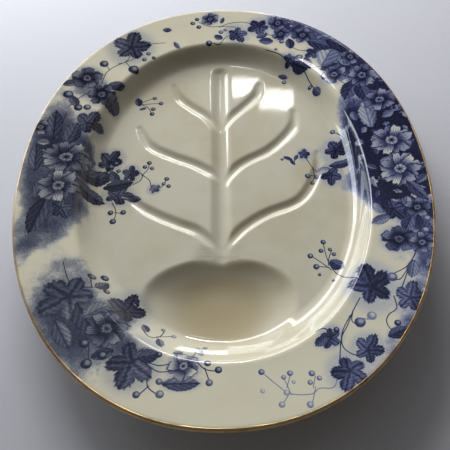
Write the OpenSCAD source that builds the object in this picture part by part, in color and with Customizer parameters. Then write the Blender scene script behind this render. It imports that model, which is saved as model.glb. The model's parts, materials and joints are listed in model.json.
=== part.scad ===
// Oval well-and-tree platter: blue-printed earthenware with a gilt line round its lip.
// The table is z = 0, the well lies towards -Y and the top of the tree towards +Y.
// Juices run from the branches into the trunk and down the sloping floor to the well.

/* [Outline] */
// Length of the platter over its lip
platter_length = 482; // [450:2:520]
// Width of the platter over its lip
platter_width = 380; // [350:2:410]
// Squareness of the outline, where 2 is an ellipse
outline_power = 2.12; // [2:0.02:2.4]

/* [Rim] */
// Width of the rim from the lip to the verge, where the wall starts
rim_width = 54; // [44:1:60]
// How far the rim climbs from the verge to the lip
rim_rise = 6; // [3:0.5:10]
// Height of the verge above the table
verge_height = 46; // [42:1:54]
// Thickness of the rounded lip
lip_thickness = 6; // [5:0.5:8]

/* [Body] */
// Thickness of the earthenware away from the lip
body_wall = 5.5; // [4.5:0.5:7]
// Width in plan of the wall along the sides and at the tree end
wall_run = 18; // [14:1:22]
// Width in plan of the wall at the well end
near_wall_run = 33; // [28:1:36]
// Height of the floor at the foot of the tree-end wall
tree_end_floor_height = 30; // [27:1:34]
// Height of the floor at the arris of the well
well_end_floor_height = 24; // [21:1:27]

/* [Well] */
// How far the well's centre lies from the platter's centre, towards the well end
well_setback = 120; // [114:1:124]
// How far the well's centre lies to the left of the long axis
well_shift_left = 6; // [0:1:8]
// Half the width of the well
well_half_width = 66; // [58:1:68]
// Reach of the well from its centre to the arris on the tree side
well_far_reach = 38; // [32:1:42]
// Reach over which the near side of the well runs up into the wall
well_near_reach = 60; // [54:1:66]
// Height of the well's floor above the table
well_floor_height = 10; // [9.5:0.5:14]

/* [Tree] */
// Width of the trunk's groove at the floor
trunk_width = 17; // [12:0.5:20]
// Depth of the trunk's groove
trunk_depth = 4; // [3:0.2:5]
// Width of a branch's groove at the floor
branch_width = 10.5; // [8:0.5:12]
// Depth of a branch's groove
branch_depth = 3; // [2.4:0.2:4]
// Thickness of the clay under the bottom of each groove
groove_clay = 4.4; // [3.5:0.1:5]

/* [Feet] */
// Height of the foot ring under the well
well_foot_height = 4.5; // [3.5:0.5:5]
// Distance between the centres of the foot ring's round ends
well_foot_span = 36; // [30:1:40]
// Outer radius of the foot ring's round ends
well_foot_radius = 20; // [17:0.5:21]
// Width of the foot ring's wall
well_foot_wall = 6; // [4:0.5:8]
// Width of a tree-end foot where it meets the body
tree_foot_width = 10; // [8:0.5:11]
// Width taken off each side of a tree-end foot between its root and its base
tree_foot_taper = 1.5; // [0.5:0.25:2]
// How far a tree-end foot stands inside the foot of the wall
tree_foot_inset = 6; // [5.5:0.5:8]
// Angle from the tree end, seen from the centre, at which a tree-end foot starts
tree_foot_start = 31; // [30:1:34]
// Angle from the tree end, seen from the centre, at which a tree-end foot stops
tree_foot_stop = 56; // [50:1:58]

/* [Gilding] */
// Thickness of the gilt line, which lies flush in the lip
gilt_thickness = 0.3; // [0.2:0.05:0.5]
// Angle above the lip's widest line at which the gilding starts
gilt_start = 72; // [60:1:80]
// Angle below the lip's widest line at which the gilding stops
gilt_stop = 0; // [0:1:20]

/* [Hidden] */

glaze_colour = [0.86, 0.84, 0.76];
foot_colour = [0.8, 0.77, 0.68];
gilt_colour = [0.72, 0.55, 0.25];

// Facets round the platter, round a groove, round the foot ring's ends, along and at the ends of a foot
sectors = 72;
line_sides = 12;
ring_sides = 64;
foot_turn_sides = 180;
foot_end_sides = 48;

// How quickly the rim, the wall and the well curve, where 1 is straight
rim_power = 1.25;
wall_power = 1.8;
well_power = 3.2;
// How far the underside's corners move outwards for each unit of wall
corner_shift_share = 0.5;
// The hidden side of the well is kept this much of a wall deeper than the seat of its foot ring
seat_sink_share = 0.3;
// The mesh line of the well's arris never comes closer to the wall than this
arris_limit_share = 0.85;

half_width = platter_width / 2;
half_length = platter_length / 2;
lip_height = verge_height + rim_rise;
lip_radius = lip_thickness / 2;
well_centre = [-well_shift_left, -well_setback];
overrun = body_wall;

// Where the rings lie between two feature lines, from the outer line to the inner one
rim_top_shares = [0, 0.12, 0.35, 0.6, 0.85];
rim_under_shares = [0, 0.4, 0.8];
wall_top_shares = [0, 0.1, 0.25, 0.42, 0.6, 0.8];
wall_under_shares = [0, 0.2, 0.4, 0.65];
floor_top_shares = [0, 0.3, 0.6, 0.88];
floor_under_shares = [0, 0.5, 0.85];
well_shares = [1, 0.93, 0.84, 0.72, 0.55, 0.3];

// The tree in plan, as shares of the floor's half width and half length.
// Each line runs from its tip to where it joins the trunk.
trunk_shares = [[0.013, 0.9], [0.011, 0.79], [-0.022, -0.44], [-0.027, -0.62]];
branch_shares = [
    [[-0.42, 0.82], [-0.36, 0.71], [-0.24, 0.62], [-0.13, 0.55], [-0.01, 0.44]],
    [[0.37, 0.8], [0.33, 0.71], [0.22, 0.62], [0.11, 0.54], [0, 0.44]],
    [[-0.71, 0.46], [-0.61, 0.32], [-0.42, 0.23], [-0.22, 0.16], [-0.02, 0.06]],
    [[0.66, 0.55], [0.62, 0.42], [0.42, 0.26], [0.16, 0.15], [-0.01, 0.01]],
    [[-0.79, -0.05], [-0.6, -0.16], [-0.37, -0.25], [-0.2, -0.31], [-0.05, -0.42]],
    [[0.81, 0.21], [0.78, 0.06], [0.62, -0.12], [0.34, -0.21], [0.15, -0.3], [0, -0.42]]
];
path_steps = 2;
// Shares of a groove's radius at its first points, and at the last point where it widens
tip_shares = [0.75, 0.95];
mouth_shares = [1.3];

function mix(a, b, share) = a + (b - a) * share;

// Superellipse point, with its own reach towards +Y and -Y
function oval_point(half_x, far_y, near_y, turn) =
    let (c = cos(turn), s = sin(turn), p = outline_power)
    let (k = pow(pow(abs(c), p) + pow(abs(s), p), -1 / p))
    [half_x * c * k, (s > 0 ? far_y : near_y) * s * k];

function lip_point(turn) =
    oval_point(half_width - lip_radius, half_length - lip_radius, half_length - lip_radius, turn);
function verge_point(turn, skin) =
    let (inset = rim_width - corner_shift_share * skin)
    oval_point(half_width - inset, half_length - inset, half_length - inset, turn);
function wall_foot_point(turn, skin) =
    let (inset = rim_width + wall_run - corner_shift_share * skin)
    let (near_inset = rim_width + near_wall_run - corner_shift_share * skin)
    oval_point(half_width - inset, half_length - inset, half_length - near_inset, turn);

// Height of the sloping floor's upper face
floor_half_width = half_width - rim_width - wall_run;
floor_half_length = half_length - rim_width - wall_run;
floor_slope = (tree_end_floor_height - well_end_floor_height)
    / (floor_half_length + well_setback - well_far_reach);
function floor_height(y) = tree_end_floor_height + (y - floor_half_length) * floor_slope;

// 0 at the well's centre and 1 at its edge
function well_ratio(point, skin) =
    let (grow = corner_shift_share * skin, d = point - well_centre)
    norm([
        d.x / (well_half_width + grow),
        d.y / ((d.y > 0 ? well_far_reach : well_near_reach) + grow)
    ]);

// Height of the floor and well together; a skin of body_wall gives the underside
function basin_height(point, skin) =
    let (flat = floor_height(point.y) - skin)
    let (lowest = well_floor_height - skin * (1 + seat_sink_share))
    let (ratio = min(1, well_ratio(point, skin)))
    let (height = mix(lowest, flat, pow(ratio, well_power)))
    skin > 0 ? max(height, well_foot_height) : height;

function wall_height(point, share, skin) =
    mix(basin_height(point, skin), verge_height - skin, pow(1 - share, wall_power));
function rim_height(share) = mix(lip_height, verge_height, 1 - pow(1 - share, rim_power));

// Rings of the mesh, each a closed line of points round the platter
function turns() = [for (i = [0 : sectors - 1]) 360 * i / sectors];
function lift(point, height) = [point.x, point.y, height];

function rim_ring(share, skin) = [
    for (turn = turns())
        let (point = mix(lip_point(turn), verge_point(turn, skin), share))
        lift(point, rim_height(share) - mix(skin > 0 ? lip_thickness : 0, skin, share))
];
function wall_ring(share, skin) = [
    for (turn = turns())
        let (point = mix(verge_point(turn, skin), wall_foot_point(turn, skin), share))
        lift(point, wall_height(point, share, skin))
];
// Rings inside the wall's foot lie on straight lines to the well's centre
function arris_share(turn, skin) =
    let (reach = wall_foot_point(turn, skin) - well_centre)
    min(arris_limit_share, 1 / well_ratio(well_centre + reach, skin));
function floor_ring(share, skin) = [
    for (turn = turns())
        let (foot = wall_foot_point(turn, skin))
        let (point = mix(well_centre, foot, mix(1, arris_share(turn, skin), share)))
        lift(point, basin_height(point, skin))
];
function well_ring(share, skin) = [
    for (turn = turns())
        let (foot = wall_foot_point(turn, skin))
        let (point = mix(well_centre, foot, arris_share(turn, skin) * share))
        lift(point, basin_height(point, skin))
];
// A line round the lip, at an angle above its widest line and a radius of its round
function lip_ring(angle, radius) = [
    for (turn = turns())
        let (point = lip_point(turn), out = point / norm(point))
        lift(point + out * radius * cos(angle), lip_height - lip_radius + radius * sin(angle))
];

// Skin through a list of rings, each joined to the next, and the last to the first if closed
function ring_faces(ring_count, first, closed) = [
    for (r = [0 : ring_count - (closed ? 1 : 2)], i = [0 : sectors - 1])
        let (j = (i + 1) % sectors)
        let (a = first + r * sectors, b = first + ((r + 1) % ring_count) * sectors)
        each [[a + i, b + j, b + i], [a + i, a + j, b + j]]
];
function fan_faces(centre, ring_start, flip) = [
    for (i = [0 : sectors - 1])
        let (j = (i + 1) % sectors)
        flip ? [centre, ring_start + j, ring_start + i] : [centre, ring_start + i, ring_start + j]
];

// The gilding lies between these lines round the lip
gilt_steps = 3;
gilt_angles = [
    for (k = [0 : gilt_steps]) gilt_start - k * (gilt_start + gilt_stop) / gilt_steps
];
gilt_bed_radius = lip_radius - gilt_thickness;
// Halfway between the gilding and the lowest line of the lip
lip_under_angle = (-gilt_stop - 90) / 2;

// The skin is drawn with a level floor and leant afterwards, which keeps the floor exactly flat
function level(point) = lift(point, point.z - point.y * floor_slope);
module leant() {
    multmatrix([[1, 0, 0, 0], [0, 1, 0, 0], [0, floor_slope, 1, 0]]) children();
}

module shell() {
    rings = [
        for (k = [len(well_shares) - 1 : -1 : 0]) well_ring(well_shares[k], 0),
        for (k = [len(floor_top_shares) - 1 : -1 : 0]) floor_ring(floor_top_shares[k], 0),
        for (k = [len(wall_top_shares) - 1 : -1 : 0]) wall_ring(wall_top_shares[k], 0),
        for (k = [len(rim_top_shares) - 1 : -1 : 0]) rim_ring(rim_top_shares[k], 0),
        lip_ring(gilt_start, lip_radius),
        for (angle = gilt_angles) lip_ring(angle, gilt_bed_radius),
        lip_ring(-gilt_stop, lip_radius),
        lip_ring(lip_under_angle, lip_radius),
        for (share = rim_under_shares) rim_ring(share, body_wall),
        for (share = wall_under_shares) wall_ring(share, body_wall),
        for (share = floor_under_shares) floor_ring(share, body_wall),
        for (share = well_shares) well_ring(share, body_wall)
    ];
    top_centre = lift(well_centre, basin_height(well_centre, 0));
    under_centre = lift(well_centre, basin_height(well_centre, body_wall));
    points = [top_centre, under_centre, for (ring = rings) each ring];
    last_ring = 2 + (len(rings) - 1) * sectors;
    leant() polyhedron([for (point = points) level(point)], [
        each fan_faces(0, 2, true),
        each ring_faces(len(rings), 2, false),
        each fan_faces(1, last_ring, false)
    ]);
}

// Smooth line through hand-placed points, with a few steps between each two
function curve_at(p0, p1, p2, p3, t) = 0.5 * (
    2 * p1 + (p2 - p0) * t + (2 * p0 - 5 * p1 + 4 * p2 - p3) * t * t
    + (3 * p1 - p0 - 3 * p2 + p3) * t * t * t);
function smooth_path(points) =
    let (last = len(points) - 1)
    [
        for (k = [0 : last - 1], step = [0 : path_steps - 1])
            curve_at(points[max(0, k - 1)], points[k], points[k + 1],
                points[min(last, k + 2)], step / path_steps),
        points[last]
    ];
function floor_places(shares) = [for (s = shares) [s.x * floor_half_width, s.y * floor_half_length]];
trunk_path = floor_places(trunk_shares);
branch_paths = [for (shares = branch_shares) smooth_path(floor_places(shares))];

// A groove's round bottom belongs to this circle, whose centre lies above the floor
function groove_radius(width, depth) = (width * width / 4 + depth * depth) / (2 * depth);

// Radius at each point of a path, thinner at the tip and wider at a mouth
function tapered(path, radius, widens) = [
    for (i = [0 : len(path) - 1])
        let (from_end = len(path) - 1 - i)
        let (tip = i < len(tip_shares) ? tip_shares[i] : 1)
        let (mouth = widens && from_end < len(mouth_shares) ? mouth_shares[from_end] : 1)
        radius * tip * mouth
];

// The stretch of a path on the far side of a level of y, which the path crosses once at most
function clipped(path, level) = [
    for (i = [0 : len(path) - 1])
        if (path[i].y > level) path[i]
        else if (i > 0 && path[i - 1].y > level)
            mix(path[i], path[i - 1], (level - path[i].y) / (path[i - 1].y - path[i].y))
];

// Round-ended line along a path, with its centre a set rise above the floor
module round_line(path, radii, rise) {
    for (i = [1 : len(path) - 1])
        hull()
            for (k = [i - 1, i])
                translate(lift(path[k], floor_height(path[k].y) + rise))
                sphere(r = radii[k], $fn = line_sides);
}

module groove_cutter(path, width, depth, widens) {
    radius = groove_radius(width, depth);
    round_line(path, tapered(path, radius, widens), radius - depth);
}

// The same line in relief on the underside, so that the clay under a groove stays thick.
// It stops where the well's own bulge takes over.
module groove_relief(path, width, depth) {
    radius = groove_radius(width, depth);
    relief_radius = radius + groove_clay;
    relief_end = well_centre.y + well_far_reach + relief_radius;
    kept = clipped(path, relief_end);
    round_line(kept, tapered(kept, relief_radius, false), radius - depth);
}

// Everything below a level that lies a set depth under the sloping floor
module below_floor(depth) {
    translate([0, 0, floor_height(0) - depth])
    rotate([atan(floor_slope), 0, 0])
    translate([-half_width, -half_length, -lip_height])
    cube([platter_width, platter_length, lip_height]);
}

module platter_body() {
    color(glaze_colour)
    difference() {
        union() {
            shell();
            intersection() {
                union() {
                    groove_relief(trunk_path, trunk_width, trunk_depth);
                    for (path = branch_paths) groove_relief(path, branch_width, branch_depth);
                }
                below_floor(body_wall / 2);
            }
        }
        groove_cutter(trunk_path, trunk_width, trunk_depth, true);
        for (path = branch_paths) groove_cutter(path, branch_width, branch_depth, false);
    }
}

// Oval bar with round ends, centred under the well
module stadium(radius, height) {
    for (side = [-1, 1])
        translate([side * well_foot_span / 2, 0, 0]) cylinder(h = height, r = radius, $fn = ring_sides);
    translate([-well_foot_span / 2, -radius, 0]) cube([well_foot_span, 2 * radius, height]);
}

module well_foot_ring() {
    color(foot_colour)
    translate(lift(well_centre, 0))
    difference() {
        stadium(well_foot_radius, well_foot_height);
        translate([0, 0, -overrun])
            stadium(well_foot_radius - well_foot_wall, well_foot_height + 2 * overrun);
    }
}

// Centre of the circle through three points
function circle_centre(a, b, c) =
    let (d = 2 * (a.x * (b.y - c.y) + b.x * (c.y - a.y) + c.x * (a.y - b.y)))
    [
        (a * a * (b.y - c.y) + b * b * (c.y - a.y) + c * c * (a.y - b.y)) / d,
        (a * a * (c.x - b.x) + b * b * (a.x - c.x) + c * c * (b.x - a.x)) / d
    ];
// Point of the line on which a tree-end foot stands, on the right-hand side
function foot_line_point(angle) =
    oval_point(floor_half_width - tree_foot_inset, floor_half_length - tree_foot_inset,
        floor_half_length - tree_foot_inset, 90 - angle);

// The half section of a foot: its root is wider than its base
module foot_section(sides) {
    root = tree_foot_width / 2;
    base = root - tree_foot_taper;
    top = tree_end_floor_height;
    polygon([
        [sides[0] * root, top],
        [sides[0] * base, 0],
        [sides[1] * base, 0],
        [sides[1] * root, top]
    ]);
}

module tree_end_foot() {
    start = foot_line_point(tree_foot_start);
    middle = foot_line_point((tree_foot_start + tree_foot_stop) / 2);
    stop = foot_line_point(tree_foot_stop);
    centre = circle_centre(start, middle, stop);
    radius = norm(start - centre);
    start_angle = atan2(start.y - centre.y, start.x - centre.x);
    stop_angle = atan2(stop.y - centre.y, stop.x - centre.x);
    intersection() {
        union() {
            translate(lift(centre, 0))
            rotate([0, 0, stop_angle])
            rotate_extrude(angle = start_angle - stop_angle, $fn = foot_turn_sides)
            translate([radius, 0])
            foot_section([-1, 1]);
            for (end = [start, stop])
                translate(lift(end, 0)) rotate_extrude($fn = foot_end_sides) foot_section([0, 1]);
        }
        below_floor(body_wall);
    }
}

module tree_end_foot_left() {
    color(foot_colour) mirror([1, 0, 0]) tree_end_foot();
}

module tree_end_foot_right() {
    color(foot_colour) tree_end_foot();
}

module gilt_edge_line() {
    rings = [
        for (angle = gilt_angles) lip_ring(angle, lip_radius),
        for (k = [gilt_steps : -1 : 0]) lip_ring(gilt_angles[k], gilt_bed_radius)
    ];
    color(gilt_colour)
    polyhedron([for (ring = rings) each ring], ring_faces(len(rings), 0, true));
}

platter_body();
well_foot_ring();
tree_end_foot_left();
tree_end_foot_right();
gilt_edge_line();
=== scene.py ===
# %% [markdown]
# # A well-and-tree platter
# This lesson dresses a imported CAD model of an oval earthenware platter. The rim and floor carry a
# blue transfer print under a clear glaze, grooves shaped like a tree lead juices to a well, and a
# painted gilt line runs round the lip. Everything is made with numbers: meshes from formulas,
# grooves and gilding from Geometry Nodes, and the print from shader maths.

# %% Load the frame
import json
import math
from collections import namedtuple

import bpy
import numpy as np
from mathutils import Matrix, Vector

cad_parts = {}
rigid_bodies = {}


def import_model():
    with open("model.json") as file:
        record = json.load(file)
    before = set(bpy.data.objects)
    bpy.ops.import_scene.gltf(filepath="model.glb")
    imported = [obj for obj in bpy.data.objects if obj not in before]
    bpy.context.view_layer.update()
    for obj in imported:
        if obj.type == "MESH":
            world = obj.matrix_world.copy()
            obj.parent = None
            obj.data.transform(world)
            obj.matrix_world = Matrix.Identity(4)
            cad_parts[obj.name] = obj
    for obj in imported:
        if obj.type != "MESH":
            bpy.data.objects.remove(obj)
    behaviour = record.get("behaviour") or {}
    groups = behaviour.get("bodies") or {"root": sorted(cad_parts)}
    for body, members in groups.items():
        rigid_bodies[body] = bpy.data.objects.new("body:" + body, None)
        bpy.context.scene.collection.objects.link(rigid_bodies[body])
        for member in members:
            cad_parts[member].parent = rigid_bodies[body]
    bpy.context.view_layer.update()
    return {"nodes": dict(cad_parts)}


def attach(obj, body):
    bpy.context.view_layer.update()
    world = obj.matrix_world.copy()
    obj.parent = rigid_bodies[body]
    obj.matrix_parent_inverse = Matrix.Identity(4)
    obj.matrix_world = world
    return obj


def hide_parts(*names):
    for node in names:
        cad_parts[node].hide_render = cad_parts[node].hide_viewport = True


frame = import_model()
MM = 0.001
print("CAD nodes:", sorted(frame["nodes"]))

# %% [markdown]
# ## The camera
# The photograph was taken by hand from the well end, looking down at about 55 degrees. The lens
# and the place come from fitting the platter's two ovals, its lip and its verge, to the picture.
# A camera looks along its own -Z, so the matrix takes the view direction with its sign turned.

# %% Camera
camera_place = Vector((5.241, -359.217, 469.604)) * MM
camera_right = Vector((0.99927, -0.02655, -0.02758)).normalized()
camera_forward = Vector((-0.0073, 0.57511, -0.81804)).normalized()
camera_up = camera_right.cross(camera_forward).normalized()
camera_right = camera_forward.cross(camera_up)

camera_data = bpy.data.cameras.new("camera")
camera_data.sensor_width = 36
camera_data.sensor_fit = "HORIZONTAL"
camera_data.lens = 47.21
camera = bpy.data.objects.new("camera", camera_data)
turned = Matrix((camera_right, camera_up, -camera_forward)).transposed().to_4x4()
camera.matrix_world = Matrix.Translation(camera_place) @ turned
bpy.context.scene.collection.objects.link(camera)
bpy.context.scene.camera = camera
bpy.context.scene.view_settings.view_transform = "Standard"
print("field of view:", round(math.degrees(camera_data.angle), 2), "degrees")

# %% [markdown]
# ## Sizes of the body
# A piece that stands in for a CAD node has to lie where the node lies, so the sizes here are those
# of the CAD model, in millimetres. The outline is a superellipse: a power of 2 would be a true
# ellipse, and a little more makes it squarer, as platters are.

# %% Sizes
half_width = 190
half_length = 241
outline_power = 2.12
rim_width = 54
lip_height = 52
verge_height = 46
lip_radius = 3
wall_run = 18
near_wall_run = 33
body_wall = 5.5
floor_half_width = half_width - rim_width - wall_run
floor_far = half_length - rim_width - wall_run
floor_near = half_length - rim_width - near_wall_run
well_x, well_y = -6, -120
well_half_width = 66
well_far_reach = 38
well_near_reach = 60
well_floor = 10
far_floor, near_floor = 30, 24
floor_slope = (far_floor - near_floor) / (floor_far - well_y - well_far_reach)
foot_seat = 4.5
rim_power, wall_power, well_power = 1.25, 1.8, 3.2


def floor_height(y):
    return far_floor + (y - floor_far) * floor_slope


print("floor falls", round(far_floor - floor_height(well_y + well_far_reach), 2), "mm to the well")

# %% [markdown]
# ## Soft corners
# Slip-cast or pressed clay has no sharp edges, and the glaze rounds them further. A smooth minimum
# joins two surfaces as a plain minimum would, but rounds the corner between them over a set
# distance. The verge, where the rim turns down into the wall, and the edge of the well use it.

# %% Surface heights
# The edge of the well is softened over this share of its depth
well_edge_softness = 0.16
# Beyond this many well sizes from its middle the well has no say in the floor
well_ratio_limit = 1.6
# Under the well the clay is this many body walls thick
well_clay_share = 1.3
TINY = 1e-9


def soft_min(a, b, reach):
    overlap = np.maximum(reach - np.abs(a - b), 0) / reach
    return np.minimum(a, b) - overlap * overlap * reach / 4


def soft_positive(value, reach):
    return -soft_min(-value, np.zeros_like(value), reach)


def oval(half_x, far_y, near_y, cosine, sine):
    """Point of a superellipse with its own reach towards +Y and -Y."""
    size = np.abs(cosine) ** outline_power + np.abs(sine) ** outline_power
    size = np.maximum(size, TINY) ** (-1 / outline_power)
    return np.stack([half_x * cosine * size, np.where(sine > 0, far_y, near_y) * sine * size], -1)


def basin_height(x, y, skin):
    """The floor and the well together. A skin of body_wall gives the underside."""
    grow = skin / 2
    reach = np.where(y > well_y, well_far_reach, well_near_reach) + grow
    ratio = np.hypot((x - well_x) / (well_half_width + grow), (y - well_y) / reach)
    flat = floor_height(y) - skin
    lowest = well_floor - well_clay_share * skin
    drop = soft_positive(1 - np.minimum(ratio, well_ratio_limit) ** well_power, well_edge_softness)
    height = flat - (flat - lowest) * drop
    return np.maximum(height, foot_seat) if skin else height


def wall_height(x, y, share, skin):
    basin = basin_height(x, y, skin)
    return basin + (verge_height - skin - basin) * np.abs(1 - share) ** wall_power


def rim_height(share):
    return verge_height + (lip_height - verge_height) * np.maximum(1 - share, 0) ** rim_power


well_middle = basin_height(np.array(well_x), np.array(well_y), 0)
print("the well's floor lies", round(float(well_middle), 1), "mm above the table")

# %% [markdown]
# ## One closed mesh for the body
# Rings of points round a centre would crowd together in the middle, so the floor is a square grid
# bent into the oval, which keeps its squares nearly even. The grid's edge points are carried on
# outwards as rings up the wall, over the rim and round the lip. The underside is hidden most of
# the time and has half as many points, so one ring of triangles steps down from 760 to 380.

# %% Grid bent into an oval
top_across, top_along = 160, 220


def bent_grid(across, along, half_x, far_y, near_y):
    """Grid points in rows along y, and the indices of its edge, anticlockwise."""
    u, v = np.meshgrid(np.linspace(-1, 1, across + 1), np.linspace(-1, 1, along + 1))
    disc_x = u * np.sqrt(1 - v * v / 2)
    disc_y = v * np.sqrt(1 - u * u / 2)
    radius = np.hypot(disc_x, disc_y)
    safe = np.maximum(radius, TINY)
    points = oval(half_x, far_y, near_y, disc_x / safe, disc_y / safe) * radius[..., None]
    index = np.arange(u.size).reshape(u.shape)
    edge = np.concatenate([index[0, :-1], index[:-1, -1], index[-1, :0:-1], index[:0:-1, 0]])
    quads = np.stack([index[:-1, :-1], index[:-1, 1:], index[1:, 1:], index[1:, :-1]], -1)
    turn = np.arctan2(disc_y.ravel()[edge], disc_x.ravel()[edge])
    return points.reshape(-1, 2), quads.reshape(-1, 4), edge, turn


def ring_quads(inner, outer):
    """Faces between two rings of indices, facing up where the second lies outside the first."""
    return np.stack([inner, outer, np.roll(outer, -1), np.roll(inner, -1)], -1)


top_grid, top_quads, top_edge, turn = bent_grid(
    top_across, top_along, floor_half_width, floor_far, floor_near)
print("floor grid:", len(top_grid), "points,", len(top_edge), "on its edge")

# %% [markdown]
# The rings follow. Each is given by how far it lies from the verge along a straight line in plan,
# so the same lists of shares make the upper side and, fewer of them, the underside. The rim and
# the wall are two surfaces that cross at the verge, and a ring takes the lower of them, softly.

# %% Rings of the body
verge_softness = 4.5
rim_slope_inside = 0.04
wall_shares = -1 + np.linspace(0, 1, 15)[1:]
rim_shares = np.linspace(0, 1, 33)[1:]
lip_angles = np.radians([72, 54, 36, 18, 0, -18, -36])
under_angles = np.radians([-60, -90])
rim_under_shares = np.linspace(1, 0, 11)[1:]
wall_under_shares = np.linspace(0, -1, 9)[1:-1]


def line_points(turn, skin):
    """The lip, verge and wall foot lines in plan, at each turn."""
    cosine, sine = np.cos(turn), np.sin(turn)
    lip_reach = half_length - lip_radius
    inset = rim_width - skin / 2
    lip = oval(half_width - lip_radius, lip_reach, lip_reach, cosine, sine)
    verge = oval(half_width - inset, half_length - inset, half_length - inset, cosine, sine)
    foot = oval(half_width - inset - wall_run, half_length - inset - wall_run,
                half_length - inset - near_wall_run, cosine, sine)
    return lip, verge, foot


def side_ring(turn, share, skin):
    """A ring at -1 on the wall's foot, 0 on the verge and 1 on the lip."""
    lip, verge, foot = line_points(turn, skin)
    if share > 0:
        xy = verge + (lip - verge) * share
        wall_share = -share * rim_width / np.hypot(*(verge - foot).T)
    else:
        xy = verge + (verge - foot) * share
        wall_share = -share
    wall = wall_height(xy[:, 0], xy[:, 1], wall_share, skin)
    outwards = max(share, 0)
    rim = rim_height(1 - outwards) - rim_slope_inside * max(-share, 0) * wall_run
    if skin:
        rim = rim - skin - (2 * lip_radius - skin) * outwards
    return np.column_stack([xy, soft_min(wall, np.full(len(turn), rim), verge_softness)])


def lip_ring(turn, angle):
    """A line round the lip, at an angle above its widest line."""
    lip = line_points(turn, 0)[0]
    out = lip / np.hypot(*lip.T)[:, None]
    height = lip_height - lip_radius + lip_radius * math.sin(angle)
    return np.column_stack([lip + out * lip_radius * math.cos(angle), np.full(len(turn), height)])


print("rings:", len(wall_shares), "on the wall,", len(rim_shares), "on the rim,",
      len(lip_angles), "on the lip")

# %% [markdown]
# Quads stitch each ring to the next, up the wall, over the lip and back underneath, where a
# second bent grid closes the shape. Two separate skins joined later would leave a seam, and this
# single one is closed from the start.

# %% Stitch the body together


def lifted(xy, skin):
    return np.column_stack([xy, basin_height(xy[:, 0], xy[:, 1], skin)])


points = [lifted(top_grid, 0)]
faces = [top_quads]
ring, count = top_edge, len(top_grid)
rings_up = [side_ring(turn, share, 0) for share in [*wall_shares, *rim_shares]]
rings_up += [lip_ring(turn, angle) for angle in lip_angles]
for place in rings_up:
    following = np.arange(count, count + len(turn))
    points.append(place)
    faces.append(ring_quads(ring, following))
    ring, count = following, count + len(turn)
upper_count = count

coarse_turn = turn[::2]
rings_under = [lip_ring(coarse_turn, angle) for angle in under_angles]
rings_under += [side_ring(coarse_turn, share, body_wall)
                for share in [*rim_under_shares, *wall_under_shares]]
for number, place in enumerate(rings_under):
    following = np.arange(count, count + len(coarse_turn))
    points.append(place)
    if number:
        faces.append(ring_quads(ring, following))
    else:
        near, middle, far = ring[::2], ring[1::2], np.roll(ring[::2], -1)
        step_down = [np.stack([near, following, middle], -1),
                     np.stack([middle, following, np.roll(following, -1)], -1),
                     np.stack([middle, np.roll(following, -1), far], -1)]
    ring, count = following, count + len(coarse_turn)

under_reaches = [reach + body_wall / 2 for reach in (floor_half_width, floor_far, floor_near)]
under_grid, under_quads, under_edge, _ = bent_grid(top_across // 2, top_along // 2, *under_reaches)
points.append(lifted(under_grid, body_wall))
faces += [ring_quads(ring, under_edge + count), (under_quads + count)[:, ::-1]]
points = np.concatenate(points)
polygons = [corners for part in [*faces, *step_down] for corners in part.tolist()]
print("body:", len(points), "points,", len(polygons), "faces")

# %% [markdown]
# ## The print's places
# The print was engraved on copper, pulled on tissue and laid on the unglazed body, so its blossoms,
# ivy leaves and berries are drawings, not clay. Each drawn motif gets a place, a size and an angle
# here. The points of the mesh then store where they lie inside the nearest motif, and the shader
# draws the motif from those two numbers, sharp at any distance.

# %% Blossoms
# x, y, half length, half width, angle in degrees, tone from 0 pale to 1 dark, number of petals
blossoms = [
    (-140, 134, 17, 16, 20, 0.75, 5), (-123, 111, 16, 15, 60, 0.85, 6),
    (-149, 25, 25, 22, 10, 0.5, 7), (-152, -10, 22, 19, 50, 0.4, 6),
    (-94, -157, 18, 17, 15, 0.65, 6), (-33, -190, 13, 12, 40, 0.25, 5),
    (-8, 226, 11, 9, 30, 0.7, 6), (69, 213, 12, 11, 15, 0.75, 5), (71, 196, 11, 10, 55, 0.8, 5),
    (95, 191, 13, 12, 5, 0.75, 6), (122, 127, 15, 13, 35, 0.6, 5), (150, 121, 18, 15, 70, 0.6, 7),
    (162, 84, 18, 15, 25, 0.55, 6), (164, 29, 22, 20, 18, 0.3, 6), (165, -7, 22, 20, 54, 0.25, 7),
    (149, -84, 15, 14, 12, 0.85, 5), (167, -90, 12, 11, 40, 0.6, 6),
    (171, -53, 12, 11, 10, 0.7, 5), (142, 150, 12, 11, 80, 0.7, 5), (-178, 62, 11, 10, 0, 0.6, 5),
]
print(len(blossoms), "blossoms")

# %% [markdown]
# Two kinds of leaf are enough for a border of this sort: ivy with five lobes, and a plain pointed
# oval that serves for rose leaves and buds. The same table holds every leaf of a kind, and the
# shader gives each one its own shading.

# %% Leaves
# As for blossoms, without petals. The angle is the way that the leaf's tip points
ivy_leaves = [
    (-96, 182, 25, 24, 82, 0.75), (-90, 17, 12, 10, 80, 0.9), (-66, -2, 7, 6, 40, 0.6),
    (-127, -128, 28, 25, 215, 0.65), (-84, -134, 21, 18, 70, 0.95), (-72, -186, 23, 21, 250, 0.75),
    (90, -200, 17, 16, 250, 0.85), (106, -184, 15, 13, 60, 0.75), (119, -128, 23, 20, 100, 0.95),
    (146, -142, 17, 14, 70, 0.75), (106, 8, 14, 12, 265, 0.95), (82, 34, 8, 7, 80, 0.9),
    (48, 210, 15, 14, 200, 0.9), (-134, 70, 19, 16, 60, 0.9), (114, 38, 17, 14, 40, 0.95),
    (80, -171, 11, 9, 240, 0.85), (-112, 34, 17, 14, 60, 0.95), (-101, -8, 17, 13, 355, 0.9),
    (22, 201, 15, 13, 295, 0.75), (105, 163, 12, 10, 210, 0.85), (78, 158, 10, 8, 300, 0.85),
    (150, -52, 15, 12, 305, 0.9), (-146, -36, 14, 11, 300, 0.85),
]
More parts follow.
